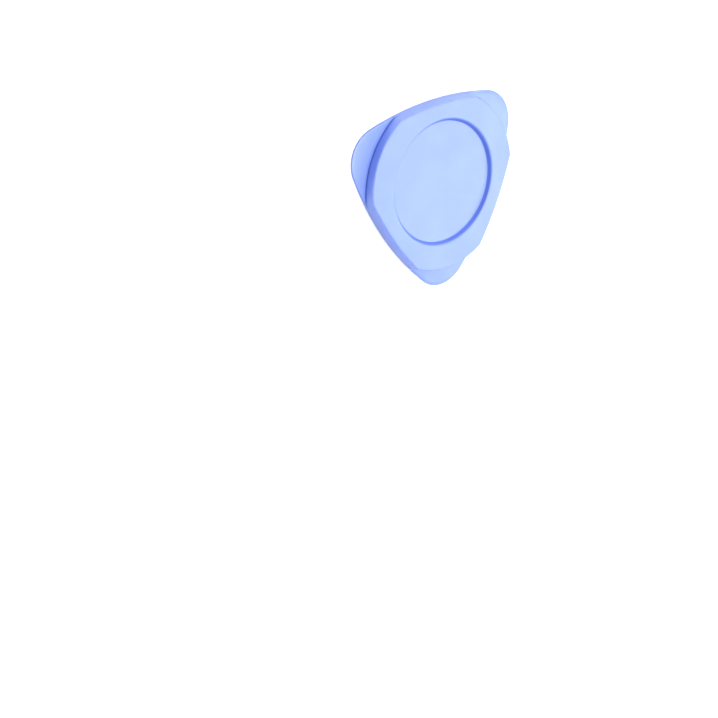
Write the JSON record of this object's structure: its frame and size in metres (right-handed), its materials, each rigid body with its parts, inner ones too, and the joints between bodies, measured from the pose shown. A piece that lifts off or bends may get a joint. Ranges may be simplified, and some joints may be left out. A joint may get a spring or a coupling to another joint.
{
  "type": "triangular opening pick",
  "caption": "Triangular plastic opening pick with thin rounded blade tips, a thick grip pad and a shallow round thumb recess.",
  "frame": {"origin": "centre of the pick on its flat back, on the axis of the thumb recess", "axes": "+Z out of the grip's face, from the flat back through the thumb recess; one blade tip points to -Y and the side opposite it faces +Y; +X is the widest direction, across the other two tips"},
  "size_m": [0.0334, 0.0317, 0.0024],
  "materials": {
    "blade_plastic": "semi-gloss moulded blue plastic, thin enough at the tips to look slightly deeper in colour",
    "grip_plastic": "semi-gloss moulded blue plastic with fine handling marks"
  },
  "bodies": {
    "root": {"blade_plate": "blade_plastic", "grip_pad": "grip_plastic"}
  },
  "joints": []
}
